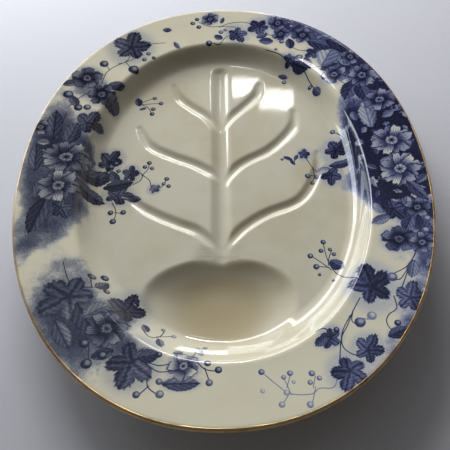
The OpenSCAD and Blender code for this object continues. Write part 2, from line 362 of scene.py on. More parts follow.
plain_leaves = [
    (-57, 210, 5, 3.5, 0, 0.9), (-46, 186, 6, 2.8, 300, 0.5), (-110, 124, 10, 6, 20, 0.9),
    (-114, 103, 12, 8, 285, 0.85), (-155, 126, 10, 5, 200, 0.6), (-147, 56, 15, 9, 75, 0.85),
    (-165, 66, 19, 8, 92, 0.75), (-177, 22, 17, 7, 95, 0.7), (-122, 12, 17, 9, 20, 0.95),
    (-128, -10, 17, 8, 335, 0.9), (-165, -44, 22, 9, 258, 0.95), (-101, 4, 15, 7, 12, 0.95),
    (-105, 13, 10, 5, 110, 0.8), (-112, -147, 16, 10, 300, 0.65), (-60, -181, 9, 6, 10, 0.9),
    (-35, -204, 14, 6, 0, 0.55), (-95, -179, 9, 5, 200, 0.8), (-66, -150, 5, 3, 120, 0.5),
    (-53, -166, 6, 3.2, 290, 0.5), (-22, -172, 7, 3, 110, 0.4), (-38, -177, 4, 3, 20, 0.4),
    (72, -174, 6, 4, 220, 0.85), (98, -93, 7, 5.5, 320, 0.85), (173, -32, 17, 6, 300, 0.7),
    (147, 66, 18, 9, 92, 0.3), (119, 156, 17, 12, 60, 0.25), (118, 20, 13, 5, 8, 0.85),
    (99, 14, 6, 4.2, 180, 0.2), (66, 30, 5, 2.2, 150, 0.8), (70, 25, 4.5, 2, 300, 0.8),
    (74, 31, 4, 2, 60, 0.8), (1, 197, 5.5, 4, 150, 0.8), (54, 187, 8, 5.5, 170, 0.75),
    (80, 180, 8, 5, 95, 0.85), (6, 223, 5, 2.4, 70, 0.7), (88, 146, 10, 6, 318, 0.95),
    (103, 114, 6, 3.4, 300, 0.8), (70, 145, 5.5, 2.8, 330, 0.8), (96, 148, 9, 5, 282, 0.95),
    (118, 139, 10, 6, 200, 0.9), (135, 103, 15, 9, 240, 0.85), (147, 98, 14, 8, 280, 0.9),
    (112, 174, 16, 8, 330, 0.85), (133, 168, 18, 8, 318, 0.95), (-104, -141, 12, 8, 30, 0.5),
    (-128, -162, 14, 7, 300, 0.5), (154, -115, 9, 5, 250, 0.5), (131, -171, 9, 5, 20, 0.9),
    (172, -118, 13, 6, 262, 0.6), (138, -62, 9, 5, 200, 0.5), (160, -68, 10, 6, 240, 0.7),
    (177, -72, 10, 6, 280, 0.6), (-87, 116, 6, 4, 100, 0.75), (-82, 106, 4, 2, 200, 0.6),
    (-86, -12, 8, 4, 350, 0.85), (50, 196, 7, 4, 20, 0.7), (88, 204, 8, 5, 40, 0.8),
    (-150, 100, 9, 5, 120, 0.7), (-168, -14, 14, 6, 80, 0.8), (-104, -112, 7, 4, 60, 0.7),
]
print(len(ivy_leaves), "ivy leaves,", len(plain_leaves), "plain leaves")

# %% [markdown]
# Berries hang in sprays, mostly near the border's inner edge. A berry is round, so one radius does
# instead of two sizes and an angle.

# %% Berries
# x, y, radius, tone
berries = [
    (-124, 156, 5.5, 0.7), (-92, 149, 6.5, 0.75), (-157, 109, 6, 0.7), (-145, 91, 5, 0.8),
    (-70, 121, 2.8, 0.6), (-63, 113, 3, 0.7), (-71, 105, 3, 0.7), (-72, 98, 3, 0.8),
    (-77, 173, 3, 0.7), (-81, 164, 3, 0.7), (-71, 167, 2.6, 0.8), (-112, 20, 3.4, 0.8),
    (-110, 28, 3, 0.7), (-105, 32, 2.6, 0.7), (-102, 22, 2.6, 0.7), (-76, 26, 2.8, 0.7),
    (-72, 31, 2.8, 0.8), (-69, 24, 2.6, 0.6), (-54, 10, 2.8, 0.7), (-57, 4, 2.4, 0.6),
    (-52, 1, 2.6, 0.8), (-106, -28, 3.2, 0.8), (-94, -28, 3.2, 0.8), (-103, -38, 3.5, 0.8),
    (-112, -106, 3.4, 0.8), (-104, -101, 3.6, 0.8), (-100, -117, 2.8, 0.7), (-110, -170, 4.4, 0.8),
    (-106, -187, 4.8, 0.8), (-95, -180, 4.2, 0.8), (-15, -188, 3.2, 0.6), (-7, -194, 3.2, 0.7),
    (-14, -204, 3.2, 0.5), (-67, -212, 3.2, 0.6), (-50, -212, 3.6, 0.4), (-51, -202, 3, 0.5),
    (-52, -180, 2.8, 0.8), (-53, -147, 2.2, 0.4), (-44, -153, 2.4, 0.3), (-18, -165, 2.2, 0.4),
    (136, -121, 4.8, 0.5), (104, -160, 5, 0.6), (114, -155, 4.4, 0.3), (132, -163, 3, 0.8),
    (85, -165, 2.8, 0.9), (89, -69, 2.8, 0.8), (86, -78, 2.6, 0.8), (94, -77, 2.2, 0.7),
    (97, -82, 2.4, 0.7), (76, -83, 3, 0.7), (80, -94, 3.2, 0.7), (82, -102, 1.8, 0.8),
    (93, -109, 1.6, 0.7), (25, -197, 2.8, 0.5), (25, -212, 2.2, 0.15), (38, -223, 2.8, 0.25),
    (41, -202, 2.2, 0.35), (46, -199, 2.6, 0.4), (48, -206, 1.8, 0.2), (42, -214, 2.6, 0.2),
    (58, -224, 3, 0.3), (62, -200, 2.8, 0.45), (67, -204, 2.4, 0.35), (60, -207, 2.4, 0.35),
    (83, 7, 3.2, 0.6), (92, 7, 2.8, 0.5), (87, 0, 2.4, 0.7), (114, 62, 3, 0.6), (60, 29, 1.8, 0.7),
    (88, 158, 4.6, 0.7), (71, 138, 3.2, 0.7), (64, 173, 2.2, 0.7), (97, 122, 2.4, 0.7),
    (83, 206, 4, 0.7), (71, 184, 3.2, 0.6), (83, 216, 3.4, 0.6), (-28, 220, 3.2, 0.7),
    (-21, 214, 3.2, 0.8), (-23, 226, 3, 0.8), (4, 205, 3.2, 0.5), (9, 208, 2.6, 0.5),
    (-10, 189, 4, 0.7), (176, -66, 4, 0.5), (172, -78, 4, 0.5), (158, -136, 3.4, 0.3),
    (-136, 92, 4.5, 0.6),
]
print(len(berries), "berries")

# %% [markdown]
# Thin stems join the leaves and carry the sprays. A stem could be a row of many short dashes, but a
# few listed points are enough, because a smooth curve is laid through them later.

# %% Stems
# Points in plan, x and y
stems = [
    [(-108, 157), (-101, 160), (-97, 168)],
    [(-124, 128), (-121, 142), (-114, 151), (-101, 160), (-88, 167)], [(-118, 148), (-121, 153)],
    [(-101, 160), (-96, 152)], [(-80, 187), (-70, 189), (-60, 190)],
    [(-138, 112), (-148, 102), (-154, 92)], [(-88, 113), (-80, 117), (-72, 121)],
    [(-84, 112), (-74, 113), (-65, 113)], [(-84, 112), (-77, 108), (-73, 100)],
    [(-86, 5), (-80, 9), (-78, 16), (-83, 20)], [(-78, 16), (-73, 23), (-72, 29)],
    [(-78, 16), (-71, 9), (-69, 1)], [(-62, -1), (-57, 2), (-55, 8)],
    [(-105, -17), (-101, -27), (-102, -36)], [(-101, -28), (-96, -29)],
    [(-112, 14), (-109, 22), (-105, 30)], [(-136, -95), (-132, -107), (-127, -117)],
    [(-126, -116), (-115, -119), (-107, -117), (-103, -107)], [(-110, -118), (-112, -110)],
    [(-110, -164), (-101, -170), (-95, -178)], [(-106, -170), (-105, -184)],
    [(-60, -189), (-52, -194), (-44, -194)], [(-61, -186), (-52, -189), (-44, -188)],
    [(-23, -187), (-17, -193), (-8, -195)], [(-17, -193), (-14, -202)],
    [(-60, -197), (-59, -206), (-52, -212)], [(-59, -206), (-65, -212)],
    [(-68, -152), (-62, -160), (-55, -158), (-52, -148)], [(-56, -158), (-46, -153)],
    [(-38, -179), (-27, -180), (-24, -170), (-19, -166)],
    [(20, 212), (2, 214), (-8, 214), (-20, 221)], [(3, 213), (14, 218), (28, 219), (40, 215)],
    [(-6, 189), (2, 187), (8, 195), (14, 200)], [(52, 205), (56, 198), (62, 194)],
    [(54, 174), (66, 167), (78, 155), (90, 143), (97, 127), (104, 112)],
    [(81, 175), (88, 169), (100, 166)], [(98, 140), (114, 141), (132, 136), (146, 128)],
    [(128, 90), (132, 108), (126, 118)], [(137, 88), (136, 70), (140, 54)],
    [(113, 62), (119, 57), (124, 47)], [(84, 29), (88, 19), (93, 14), (102, 12)],
    [(60, 29), (66, 31), (70, 24), (75, 32)], [(89, 17), (90, 8), (87, 1)], [(86, 8), (91, 9)],
    [(89, -72), (90, -84), (93, -95), (99, -106), (109, -119)], [(78, -84), (86, -91), (92, -97)],
    [(95, -79), (92, -86), (91, -92)], [(83, -94), (90, -95)],
    [(107, -139), (100, -150), (94, -162), (88, -172), (84, -190)],
    [(97, -154), (89, -168), (88, -180), (95, -187), (102, -188)],
    [(100, -150), (98, -158), (101, -161)],
    [(134, -140), (134, -150), (127, -155), (124, -161), (126, -168), (131, -168)],
    [(158, -102), (150, -112), (140, -117)], [(151, -113), (143, -123), (140, -124)],
    [(160, -98), (152, -112), (140, -135)], [(70, -165), (76, -163), (80, -168)],
    [(80, -205), (76, -212), (66, -212), (60, -216), (45, -215), (35, -207), (28, -200)],
    [(63, -212), (60, -222)], [(62, -210), (64, -203)], [(45, -215), (43, -208), (41, -203)],
    [(43, -209), (46, -201)], [(44, -215), (39, -222)],
    [(145, 28), (152, 44), (155, 62), (150, 80)], [(157, -32), (162, -46), (158, -60)],
    [(-165, -24), (-161, -34), (-163, -44)], [(-150, 44), (-158, 62), (-156, 82)],
]
print(len(stems), "stems")

# %% [markdown]
# Flow blue gets its name from ink that ran into the glaze, so clouds of blue lie under the
# drawing. Each cloud is a soft oval patch. They add up like layers of tinted glass.

# %% Clouds of blue
# x, y, half length, half width, angle, strength
clouds = [
    (100, 200, 50, 18, 324, 0.8), (150, 142, 38, 28, 300, 0.9), (166, 92, 42, 26, 280, 0.95),
    (164, 45, 42, 32, 270, 1), (166, -5, 44, 32, 268, 1), (166, -40, 28, 28, 265, 0.95),
    (175, -70, 28, 15, 262, 0.8), (172, -98, 24, 14, 255, 0.65), (161, -124, 20, 12, 245, 0.45),
    (134, 48, 42, 13, 275, 0.85), (135, 2, 44, 12, 272, 0.85), (129, 84, 15, 11, 285, 0.4),
    (146, -44, 14, 14, 270, 0.55), (118, -3, 13, 9, 270, 0.4), (147, -98, 12, 10, 200, 0.3),
    (152, -150, 26, 16, 235, 0.5), (132, -178, 24, 12, 225, 0.5), (60, 212, 24, 14, 345, 0.35),
    (-160, 56, 34, 26, 98, 0.66), (-164, 12, 50, 28, 92, 0.76), (-152, -34, 32, 28, 85, 0.66),
    (-162, -64, 22, 24, 80, 0.6), (-174, -90, 20, 10, 70, 0.5), (-134, 24, 33, 11, 88, 0.7),
    (-137, -22, 26, 10, 92, 0.4), (-164, 96, 30, 14, 105, 0.4), (-134, 120, 22, 20, 120, 0.6),
    (-130, -116, 32, 30, 100, 0.5), (-122, -148, 32, 28, 120, 0.55),
    (-135, -160, 40, 16, 125, 0.5), (-97, -163, 30, 20, 150, 0.55), (-107, -190, 22, 12, 130, 0.4),
    (-76, -182, 22, 18, 160, 0.45), (-84, -138, 18, 15, 100, 0.6), (-35, -203, 15, 7, 0, 0.35),
]
print(len(clouds), "clouds")

# %% [markdown]
# Two motifs whose ovals overlap can't share one set of stored numbers, so each new motif goes to
# the first layer where it has room. Between motifs the stored numbers jump, and a third number,
# the reach, stays smooth and hides the jump: it is 0 at a motif's middle and 1 on its oval.

# %% Layers of motifs
upper_xy = points[:upper_count, :2]
PLAIN, IVY = 0, 1
berry_scale = 0.92
no_motif = 9.0
own_number_step = 0.37


def place_in_oval(xy, x, y, long, wide, angle):
    """Where points lie in a turned oval: at 1 or -1 on its tips and on its sides."""
    away = xy - (x, y)
    cosine, sine = math.cos(math.radians(angle)), math.sin(math.radians(angle))
    return ((away[:, 0] * cosine + away[:, 1] * sine) / long,
            (away[:, 1] * cosine - away[:, 0] * sine) / wide)


def sorted_into_layers(rows, layer_count, room):
    """Lists of rows for each layer, in which no two ovals come closer than the room given."""
    sorted_rows = [[] for _ in range(layer_count)]
    for row in rows:
        for held in sorted_rows:
            if all(math.hypot(row[0] - other[0], row[1] - other[1])
                   > max(row[2:4]) + max(other[2:4]) + room for other in held):
                held.append(row)
                break
    return sorted_rows


def stored_places(rows):
    """For each point of the upper side: its place in a motif, and the motif's tone, kind and number."""
    reach = np.full(len(upper_xy), no_motif)
    place = np.zeros((len(upper_xy), 3))
    make = np.zeros((len(upper_xy), 3))
    for number, (*oval_row, tone, kind) in enumerate(rows):
        u, v = place_in_oval(upper_xy, *oval_row)
        distance = np.hypot(u, v)
        near = distance < reach
        reach[near] = distance[near]
        place[near] = np.stack([u, v, distance], -1)[near]
        make[near] = (tone, kind, number * own_number_step % 1)
    place[:, 2] = reach
    return place, make


blossom_layers = sorted_into_layers(blossoms, 2, room=2)
leaves = [row + (IVY,) for row in ivy_leaves] + [row + (PLAIN,) for row in plain_leaves]
leaf_layers = sorted_into_layers(leaves, 4, room=1)
berry_rows = [(x, y, r * berry_scale, r * berry_scale, 0, tone, 0) for x, y, r, tone in berries]
berry_layers = sorted_into_layers(berry_rows, 2, room=2.4)
for name, layers in (("blossoms", blossom_layers), ("leaves", leaf_layers), ("berries", berry_layers)):
    print(name, "in each layer:", [len(held) for held in layers])

# %% [markdown]
# Dense foliage fills the darkest clouds. Its leaves are many and small and none matters by itself,
# so they are thrown at random from a fixed seed, and kept where the cloud is thick and where they
# have room. The left side has faded, so fewer of them are kept there.

# %% Foliage behind the blossoms
foliage_tries = 6000
foliage_corners = (-186, -140), (186, 215)
foliage_sizes = 4.5, 8
foliage_widths = 0.45, 0.8
foliage_tones = 0.1, 0.75
foliage_room = 0.86
thick_on_right, thick_on_left = 0.7, 0.86
# A cloud is whole inside this share of its oval, and gone where the two together end
cloud_core, cloud_fade = 0.65, 0.7
# The outline's own formula gives 1 on the lip
near_lip = 0.97
random = np.random.default_rng(seed=7)


def cloud_strength(xy):
    """How much blue the clouds lay on each point, from 0 to 1."""
    clear = np.ones(len(xy))
    for *oval_row, strength in clouds:
        distance = np.hypot(*place_in_oval(xy, *oval_row))
        clear *= 1 - strength * np.clip(cloud_core + cloud_fade - distance, 0, cloud_fade) / cloud_fade
    return 1 - clear


foliage = []
for x, y in random.uniform(*foliage_corners, (foliage_tries, 2)):
    size = random.uniform(*foliage_sizes)
    thick_enough = thick_on_right if x > 0 else thick_on_left
    edge = abs(x / half_width) ** outline_power + abs(y / half_length) ** outline_power
    if cloud_strength(np.array([[x, y]]))[0] < thick_enough or edge > near_lip:
        continue
    if all(math.hypot(x - other[0], y - other[1]) > (size + other[2]) * foliage_room
           for other in foliage):
        foliage.append((x, y, size, size * random.uniform(*foliage_widths), random.uniform(0, 360),
                        random.uniform(*foliage_tones), random.choice([PLAIN, IVY])))
print("foliage:", len(foliage), "leaves")

# %% [markdown]
# A stem is a thin line. The mesh's points are 1.5 mm apart and the line is thinner than that, so
# the points store a signed distance, which is negative on one side of the line and positive on the
# other. Between two points it passes through zero exactly on the line. Stems that meet or cross go
# to different layers, as motifs do.

# %% Stems in layers
stem_layer_count = 4
stem_steps = 6
stem_room = 4.5
stem_reach = 8
no_stem = 99.0
stem_tone, faint_stem_tone = 0.75, 0.33
# Stems are faint where x is over the first of these and y under the second
faint_corner = 20, -190


def smooth_line(line, steps):
    """Catmull-Rom curve through the given points."""
    line = np.array(line, float)
    padded = np.concatenate([line[:1], line, line[-1:]])
    t = np.linspace(0, 1, steps, endpoint=False)[:, None]
    parts = []
    for a, b, c, d in zip(padded, padded[1:], padded[2:], padded[3:]):
        parts.append(0.5 * (2 * b + (c - a) * t + (2 * a - 5 * b + 4 * c - d) * t ** 2
                            + (3 * b - a - 3 * c + d) * t ** 3))
    return np.concatenate([*parts, line[-1:]])


def gap_between(path, other):
    return np.hypot(*(path[:, None] - other[None]).transpose(2, 0, 1)).min()


def stem_layers_of(lines):
    """Smooth stems, each in the first layer where it keeps clear of the others."""
    layers = [[] for _ in range(stem_layer_count)]
    for line in lines:
        path = smooth_line(line, stem_steps)
        for layer in layers:
            if all(gap_between(path, other) > stem_room for other in layer):
                layer.append(path)
                break
    return layers


def stem_distances(paths):
    """Signed and plain distance to the nearest stem, and its tone."""
    nearest = np.full(len(upper_xy), no_stem)
    signed = np.full(len(upper_xy), no_stem)
    tone = np.zeros(len(upper_xy))
    for path in paths:
        low, high = path.min(0) - stem_reach, path.max(0) + stem_reach
        close = np.flatnonzero(((upper_xy > low) & (upper_xy < high)).all(1))
        middle_x, middle_y = path.mean(0)
        faint = middle_x > faint_corner[0] and middle_y < faint_corner[1]
        for start, end in zip(path, path[1:]):
            along = end - start
            length = np.hypot(*along)
            away = upper_xy[close] - start
            share = np.clip(away @ along / length ** 2, 0, 1)
            distance = np.hypot(*(away - share[:, None] * along).T)
            side = (along[0] * away[:, 1] - along[1] * away[:, 0]) / length
            better = distance < nearest[close]
            nearest[close[better]] = distance[better]
            signed[close[better]] = side[better]
            tone[close[better]] = faint_stem_tone if faint else stem_tone
    return np.stack([signed, nearest, tone], -1)


stem_layers = stem_layers_of(stems)
print("stems in each layer:", [len(layer) for layer in stem_layers])

# %% [markdown]
# ## From numbers to a mesh
# The stored numbers become attributes of the mesh, one value or vector on each point, which the
# shader reads by name. An image could hold the drawing too, but would blur when seen close.

# %% Body mesh with its attributes


def add_attribute(mesh, name, values):
    kind = "FLOAT_VECTOR" if values.ndim > 1 else "FLOAT"
    full = np.zeros((len(points), *values.shape[1:]))
    full[:len(values)] = values
    attribute = mesh.attributes.new(name, kind, "POINT")
    attribute.data.foreach_set("vector" if values.ndim > 1 else "value", full.astype(np.float32).ravel())


def new_piece(name, vertices, faces):
    mesh = bpy.data.meshes.new(name)
    mesh.from_pydata((np.asarray(vertices) * MM).tolist(), [], faces)
    mesh.polygons.foreach_set("use_smooth", [True] * len(mesh.polygons))
    piece = bpy.data.objects.new(name, mesh)
    bpy.context.scene.collection.objects.link(piece)
    return piece


platter = new_piece("platter", points, polygons)
mesh = platter.data
blossom_names = ["blossom_low", "blossom_high"]
leaf_names = ["leaf_low", "leaf_middle", "leaf_high", "leaf_top"]
berry_names = ["berry_low", "berry_high"]
motif_rows = dict(zip([*blossom_names, *leaf_names, *berry_names, "foliage"],
                      [*blossom_layers, *leaf_layers, *berry_layers, foliage]))
for name, rows in motif_rows.items():
    place, make = stored_places(rows)
    add_attribute(mesh, name, place)
    add_attribute(mesh, name + "_make", make)
for number, paths in enumerate(stem_layers):
    add_attribute(mesh, f"stem_{number}", stem_distances(paths))
add_attribute(mesh, "cloud", cloud_strength(upper_xy))
under = np.zeros(len(points))
under[upper_count:] = 1
add_attribute(mesh, "under", under)
print("attributes:", len(mesh.attributes))

# %% [markdown]
# The finished look can be painted onto a picture, and a UV map named OFBake says where. It
# lays the upper side out as seen from above, which wastes little of the picture and cuts no seam
# through the print.

# %% Map for the export
# The upper side fills the map but for a border, and the unprinted underside gets a corner of it
map_length = 2 * half_length
map_border, map_inset = 6, 0.005
under_scale, under_corner = 0.24, (0.755, 0.01)
corner_vertex = np.zeros(len(mesh.loops), np.int32)
mesh.loops.foreach_get("vertex_index", corner_vertex)
face_sizes = np.array([len(face) for face in polygons])
corner_under = np.repeat([max(face) >= upper_count for face in polygons], face_sizes)[:, None]
from_corner = points[corner_vertex][:, :2] + (half_width, half_length)
map_top = from_corner / (map_length + map_border) + map_inset
map_under = from_corner / map_length * under_scale + under_corner
uv = mesh.uv_layers.new(name="OFBake")
uv.data.foreach_set("uv", np.where(corner_under, map_under, map_top).astype(np.float32).ravel())
print("triangles:", int((face_sizes - 2).sum()))

# %% [markdown]
# ## Sums with nodes
# Node trees are easier to read as formulas. A Wire wraps a socket and takes part in sums: each
# operator adds one Math node. The same two small classes serve shaders and Geometry Nodes.

# %% Wires and boards


class Wire:
    """A node's output that can be added, multiplied and compared."""

    def __init__(self, board, socket):
        self.board = board
        self.socket = socket

    def math(self, operation, *others):
        return self.board.math(operation, self, *others)

    def sibling(self, name):
        return Wire(self.board, self.socket.node.outputs[name])

    def __add__(self, other):
        return self.math("ADD", other)

    def __sub__(self, other):
        return self.math("SUBTRACT", other)

    def __rsub__(self, other):
        return self.board.math("SUBTRACT", other, self)

    def __mul__(self, other):
        return self.math("MULTIPLY", other)

    def __truediv__(self, other):
        return self.math("DIVIDE", other)

    def __pow__(self, other):
        return self.math("POWER", other)

    def __gt__(self, other):
        return self.math("GREATER_THAN", other)

    def __lt__(self, other):
        return self.math("LESS_THAN", other)

    def __abs__(self):
        return self.math("ABSOLUTE")

    __radd__ = __add__
    __rmul__ = __mul__

    def rise(self, start, stop):
        """0 below start, 1 above stop, and a smooth step between."""
        return self.board.add("ShaderNodeMapRange", {"interpolation_type": "SMOOTHSTEP"},
                              {"Value": self, "From Min": start, "From Max": stop})


class Board:
    """A node tree with one method that adds any node."""

    def __init__(self, tree):
        self.tree = tree

    def add(self, kind, settings=None, inputs=(), output=0):
        node = self.tree.nodes.new(kind)
        for name, value in (settings or {}).items():
            if name == "stops":
                while len(node.color_ramp.elements) < len(value):
                    node.color_ramp.elements.new(0.5)
                for element, (position, colour) in zip(node.color_ramp.elements, value):
                    element.position = position
                    element.color = colour
            else:
                setattr(node, name, value)
        pairs = inputs.items() if isinstance(inputs, dict) else enumerate(inputs)
        for key, value in pairs:
            if isinstance(value, Wire):
                self.tree.links.new(value.socket, node.inputs[key])
            else:
                node.inputs[key].default_value = value
        return Wire(self, node.outputs[output]) if len(node.outputs) else node

    def math(self, operation, *values):
        return self.add("ShaderNodeMath", {"operation": operation}, values)

    def parts(self, vector):
        first = self.add("ShaderNodeSeparateXYZ", inputs=[vector])
        return first, first.sibling("Y"), first.sibling("Z")

    def colour_mix(self, share, low, high):
        return self.add("ShaderNodeMix", {"data_type": "RGBA"}, {0: share, 6: low, 7: high}, 2)


print("operators ready")

# %% [markdown]
# ## Grooves pressed by Geometry Nodes
# The tree's grooves were cut with the plaster mould. Each follows one rule: a round bottom along
# a line, thinner at the tip, with shoulders softened by the glaze. The node tree measures how far
# each point lies from the nearest line and lowers it to a parabola that has the groove's width and
# depth. Underneath, the same rule with a larger radius makes the relief that keeps the clay thick.

# %% Lines of the tree
# Shares of the floor's half width and half length, from a tip to where the line joins the trunk
trunk_shares = [[(0.013, 0.9), (0.011, 0.79), (-0.022, -0.44), (-0.027, -0.62)]]
branch_shares = [
    [(-0.42, 0.82), (-0.36, 0.71), (-0.24, 0.62), (-0.13, 0.55), (-0.01, 0.44)],
    [(0.37, 0.8), (0.33, 0.71), (0.22, 0.62), (0.11, 0.54), (0, 0.44)],
    [(-0.71, 0.46), (-0.61, 0.32), (-0.42, 0.23), (-0.22, 0.16), (-0.02, 0.06)],
    [(0.66, 0.55), (0.62, 0.42), (0.42, 0.26), (0.16, 0.15), (-0.01, 0.01)],
    [(-0.79, -0.05), (-0.6, -0.16), (-0.37, -0.25), (-0.2, -0.31), (-0.05, -0.42)],
    [(0.81, 0.21), (0.78, 0.06), (0.62, -0.12), (0.34, -0.21), (0.15, -0.3), (0, -0.42)],
]
# Where the last branches meet the trunk, all run into one shallow fan that opens on the well
fan_shares = [[(-0.02, -0.36), (-0.024, -0.43), (-0.03, -0.5)]]


def line_object(name, share_lines, steps, tip, mouth):
    """A mesh of edges along the lines, with a taper on each point."""
    vertices, edges, taper = [], [], []
    for shares in share_lines:
        placed = np.array(shares) * (floor_half_width, floor_far)
        path = smooth_line(placed, steps)
        first = len(vertices)
        vertices += [(x, y, floor_height(y)) for x, y in path]
        edges += [(first + k, first + k + 1) for k in range(len(path) - 1)]
        place = np.linspace(0, len(shares) - 1, len(path))
        taper += np.interp(place, [0, 0.5, 1, len(shares) - 2, len(shares) - 1],
                           [tip, (1 + tip) / 2, 1, 1, mouth]).tolist()
    mesh = bpy.data.meshes.new(name)
    mesh.from_pydata((np.array(vertices) * MM).tolist(), edges, [])
    mesh.attributes.new("taper", "FLOAT", "POINT").data.foreach_set("value", taper)
    piece = bpy.data.objects.new(name, mesh)
    bpy.context.scene.collection.objects.link(piece)
    return piece


trunk_line = line_object("trunk_line", trunk_shares, steps=12, tip=0.98, mouth=1.3)
branch_lines = line_object("branch_lines", branch_shares, steps=8, tip=0.7, mouth=1)
fan_line = line_object("fan_line", fan_shares, steps=6, tip=0.96, mouth=1.02)
print("groove lines:", len(trunk_shares + branch_shares + fan_shares))

# %% [markdown]
# A mesh has no round groove of its own, and a Boolean with tubes would leave sharp, ragged edges.
# Moving the points that are there keeps the skin whole, and the tree's inputs stay open for other
# grooves. The lines are meshes of edges, because Geometry Proximity can measure from edges.

# %% Node tree of the grooves
NUMBER, GEOMETRY, OBJECT, MATERIAL = (
    "NodeSocketFloat", "NodeSocketGeometry", "NodeSocketObject", "NodeSocketMaterial")


def new_tree(name, sockets):
    """A Geometry Nodes tree with named inputs, its board, and a wire for each input."""
    tree = bpy.data.node_groups.new(name, "GeometryNodeTree")
    tree.interface.new_socket("Geometry", in_out="OUTPUT", socket_type=GEOMETRY)
    for socket_name, kind in sockets.items():
        tree.interface.new_socket(socket_name, in_out="INPUT", socket_type=kind)
    board = Board(tree)
    group_input = tree.nodes.new("NodeGroupInput")
    wires = {socket_name: Wire(board, group_input.outputs[socket_name]) for socket_name in sockets}
    return tree, board, wires


def finish_tree(board, geometry, material):
    real = board.add("GeometryNodeRealizeInstances", inputs=[geometry])
    done = board.add("GeometryNodeSetMaterial", inputs={"Geometry": real, "Material": material})
    board.add("NodeGroupOutput", inputs={"Geometry": done})


def run_tree(piece, tree, values):
    """Give the tree its inputs, then keep its result as a plain mesh."""
    modifier = piece.modifiers.new(tree.name, "NODES")
    modifier.node_group = tree
    inputs = [item for item in tree.interface.items_tree if item.in_out == "INPUT"]
    sockets = {item.name: item.identifier for item in inputs}
    for name, value in values.items():
        modifier[sockets[name]] = value
    bpy.context.view_layer.update()
    evaluated = piece.evaluated_get(bpy.context.evaluated_depsgraph_get())
    made = bpy.data.meshes.new_from_object(
        evaluated, preserve_all_data_layers=True, depsgraph=bpy.context.evaluated_depsgraph_get())
    piece.modifiers.clear()
    piece.data = made
    made.name = piece.name
    return made


def pressed(board, geometry, given, groove):
    """Geometry lowered into the round grooves of one kind."""
    lines, radius, rise = given[groove], given[groove + " radius"], given[groove + " rise"]
    path = board.add("GeometryNodeObjectInfo", {"transform_space": "ORIGINAL"},
                     {"Object": lines}, "Geometry")
    x, y, z = board.parts(board.add("GeometryNodeInputPosition"))
    floor = y * floor_slope + floor_height(0) * MM
    below = board.add("ShaderNodeCombineXYZ", inputs=[x, y, floor])
    near = board.add("GeometryNodeProximity", {"target_element": "EDGES"},
                     {"Geometry": path, "Sample Position": below}, "Distance")
    nearest = board.add("GeometryNodeSampleNearest", inputs={"Geometry": path, "Sample Position": below})
    stored = board.add("GeometryNodeInputNamedAttribute", {"data_type": "FLOAT"}, {"Name": "taper"})
    taper = board.add("GeometryNodeSampleIndex",
                      inputs={"Geometry": path, "Value": stored, "Index": nearest})
    under = board.add("GeometryNodeInputNamedAttribute", {"data_type": "FLOAT"}, {"Name": "under"})
    reach = (radius + given["Clay"] * under) * taper
    bottom = floor + rise - reach + near * near / (reach + rise)
    lowered = z.math("SMOOTH_MIN", bottom, given["Softness"])
    shift = board.add("ShaderNodeCombineXYZ", inputs=[0, 0, lowered - z])
    return board.add("GeometryNodeSetPosition", inputs={"Geometry": geometry, "Offset": shift})


groove_kinds = ("Trunk", "Branch", "Fan")
sockets = {"Geometry": GEOMETRY, "Clay": NUMBER, "Softness": NUMBER, "Material": MATERIAL}
for kind in groove_kinds:
    sockets |= {kind: OBJECT, kind + " radius": NUMBER, kind + " rise": NUMBER}
groove_tree, board, given = new_tree("pressed_grooves", sockets)
pressed_mesh = given["Geometry"]
for kind in groove_kinds:
    pressed_mesh = pressed(board, pressed_mesh, given, kind)
finish_tree(board, pressed_mesh, given["Material"])
print("groove nodes:", len(groove_tree.nodes))

# %% [markdown]
# ## Glaze and print
# The body is cream earthenware under a clear, glossy lead glaze. The ink is cobalt, pale grey-blue
# where it is thin and navy where it is thick. The material first draws everything as one number,
# the amount of ink, and only then turns ink into colour.

# %% Helpers of the print


def srgb(red, green, blue):
    """A colour picked on screen, 0 to 255, as the linear values that a shader wants."""
    shares = (red / 255, green / 255, blue / 255)
    return (*(((c + 0.055) / 1.055) ** 2.4 if c > 0.04045 else c / 12.92 for c in shares), 1)


def new_material(name):
    material = bpy.data.materials.new(name)
    material.use_nodes = True
    material.node_tree.nodes.clear()
    return material, Board(material.node_tree)


def finish_material(board, settings):
    """The Principled shader with these sockets set or linked, on the material's output."""
    shader = board.add("ShaderNodeBsdfPrincipled", inputs=settings)
    board.add("ShaderNodeOutputMaterial", inputs=[shader])


def stored_vector(board, name):
    return board.parts(board.add("ShaderNodeAttribute", {"attribute_name": name}, output="Vector"))


def stored_number(board, name):
    return board.add("ShaderNodeAttribute", {"attribute_name": name}, output="Fac")


def mixed(share, low, high):
    return low + (high - low) * share


glaze, board = new_material("printed_glaze")
position = board.add("ShaderNodeTexCoord", output="Object")
across, _, height = board.parts(position)
print("material started:", glaze.name)

# %% [markdown]
# An engraver's line is never quite regular, and the ink crept a little in the glaze. A coarse noise
# shifts every place by up to a tenth of its motif, so that no two leaves or petals come out alike.
# A motif's outline is a formula in its own place, u towards its tip and v to the side.

# %% Outlines of the motifs
creep = board.add("ShaderNodeTexNoise", inputs={"Vector": position, "Scale": 190, "Detail": 3},
                  output="Color")
creep_x, creep_y, _ = board.parts(creep)
# How far the creep moves a drawn edge, in shares of the motif
drawn_hand, round_hand, foliage_hand = 0.24, 0.22, 0.5
# A motif ends where its reach passes this
motif_end = 1.06
Motif = namedtuple("Motif", "u v tone kind number inside reach")


def polar(u, v):
    return v.math("ARCTAN2", u), (u * u + v * v).math("SQRT")


def lobe_of(angle):
    """0 along the middle of each of five lobes and 1 in the notches between."""
    return (angle * 5).math("COSINE").math("ARCCOSINE") / math.pi


